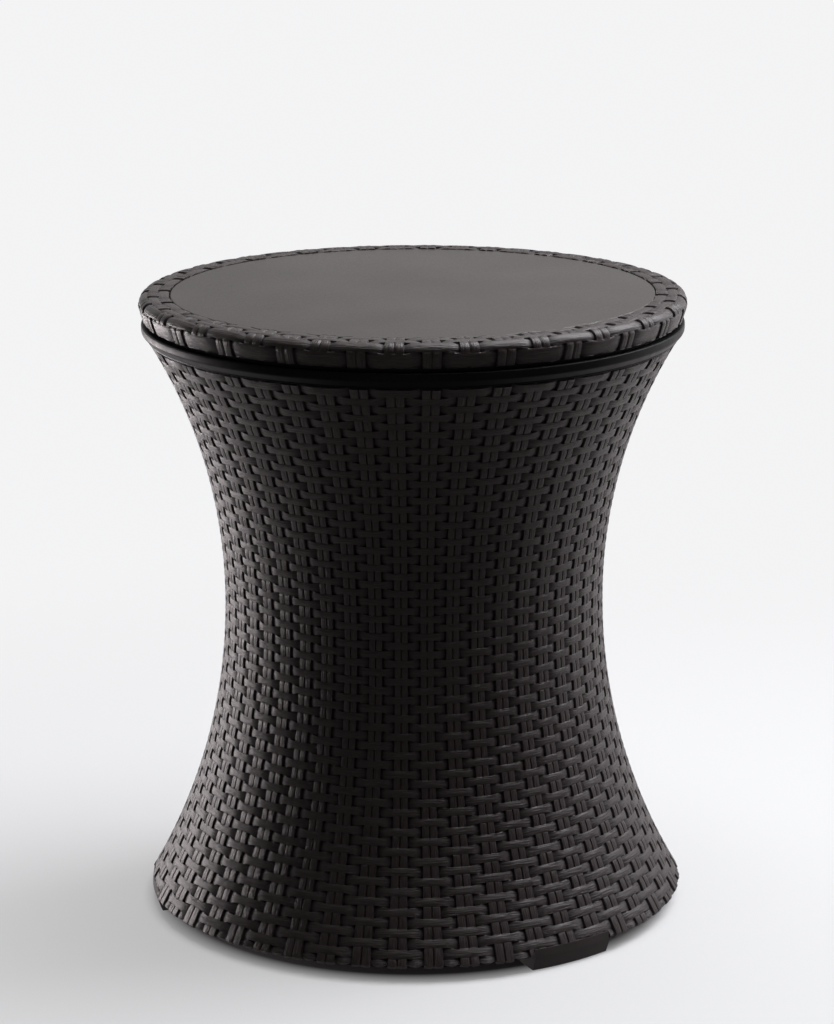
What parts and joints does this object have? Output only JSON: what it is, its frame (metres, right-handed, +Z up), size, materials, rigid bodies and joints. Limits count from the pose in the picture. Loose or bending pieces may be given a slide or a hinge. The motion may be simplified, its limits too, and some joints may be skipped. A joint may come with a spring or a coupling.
{
  "type": "cooler table",
  "caption": "Round waisted side table in woven-look resin whose top lifts on a centre post and twists to lock, uncovering an ice bucket with a drain plug.",
  "frame": {"origin": "on the floor, under the middle of the table", "axes": "+Z up along the post, -Y towards the pictured front, +X to the right seen from the front"},
  "size_m": [0.4949, 0.495, 0.569],
  "materials": {
    "woven_resin": "satin espresso resin with moulded weave and grain",
    "foot_resin": "plain satin moulded resin",
    "panel_resin": "fine leather-grain texture",
    "bucket_resin": "smooth gloss",
    "inner_resin": "fine satin",
    "bearing_resin": "smooth satin",
    "seal_rubber": "matte",
    "fastener_steel": "zinc plated"
  },
  "bodies": {
    "base": {"lower_body_shell": "woven_resin", "upper_body_shell": "woven_resin", "waist_screws": "fastener_steel", "foot_1": "foot_resin", "foot_2": "foot_resin", "foot_3": "foot_resin", "foot_screws": "fastener_steel", "ice_bucket": "bucket_resin", "guide_tube": "inner_resin", "guide_tube_gasket": "seal_rubber", "guide_tube_nut": "inner_resin", "guide_bush": "bearing_resin", "guide_cap": "inner_resin", "drain_fitting": "inner_resin", "drain_gasket": "seal_rubber", "drain_nut": "inner_resin"},
    "slider": {"slide_ring": "bearing_resin"},
    "top": {"top_rim": "woven_resin", "top_panel": "panel_resin", "top_underside": "inner_resin", "top_seal": "seal_rubber", "top_screws": "fastener_steel", "post_head": "inner_resin", "post_head_pin": "fastener_steel", "post_head_screws": "fastener_steel", "post_tube": "inner_resin", "post_foot": "bearing_resin", "lock_pin": "fastener_steel", "slide_ring_clip": "fastener_steel"},
    "drain_plug": {"drain_plug": "seal_rubber", "drain_plug_washer": "seal_rubber"}
  },
  "joints": [
    {"name": "top_lift", "type": "slide", "parent": "base", "child": "slider", "axis": [0, 0, 1], "range_m": [0, 0.254]},
    {"name": "top_twist", "type": "hinge", "parent": "slider", "child": "top", "pos_m": [0, 0, 0.5], "axis": [0, 0, -1], "range_deg": [0, 30]},
    {"name": "drain_plug_pull", "type": "slide", "parent": "base", "child": "drain_plug", "axis": [0, 0, 1], "range_m": [0, 0.06]}
  ]
}
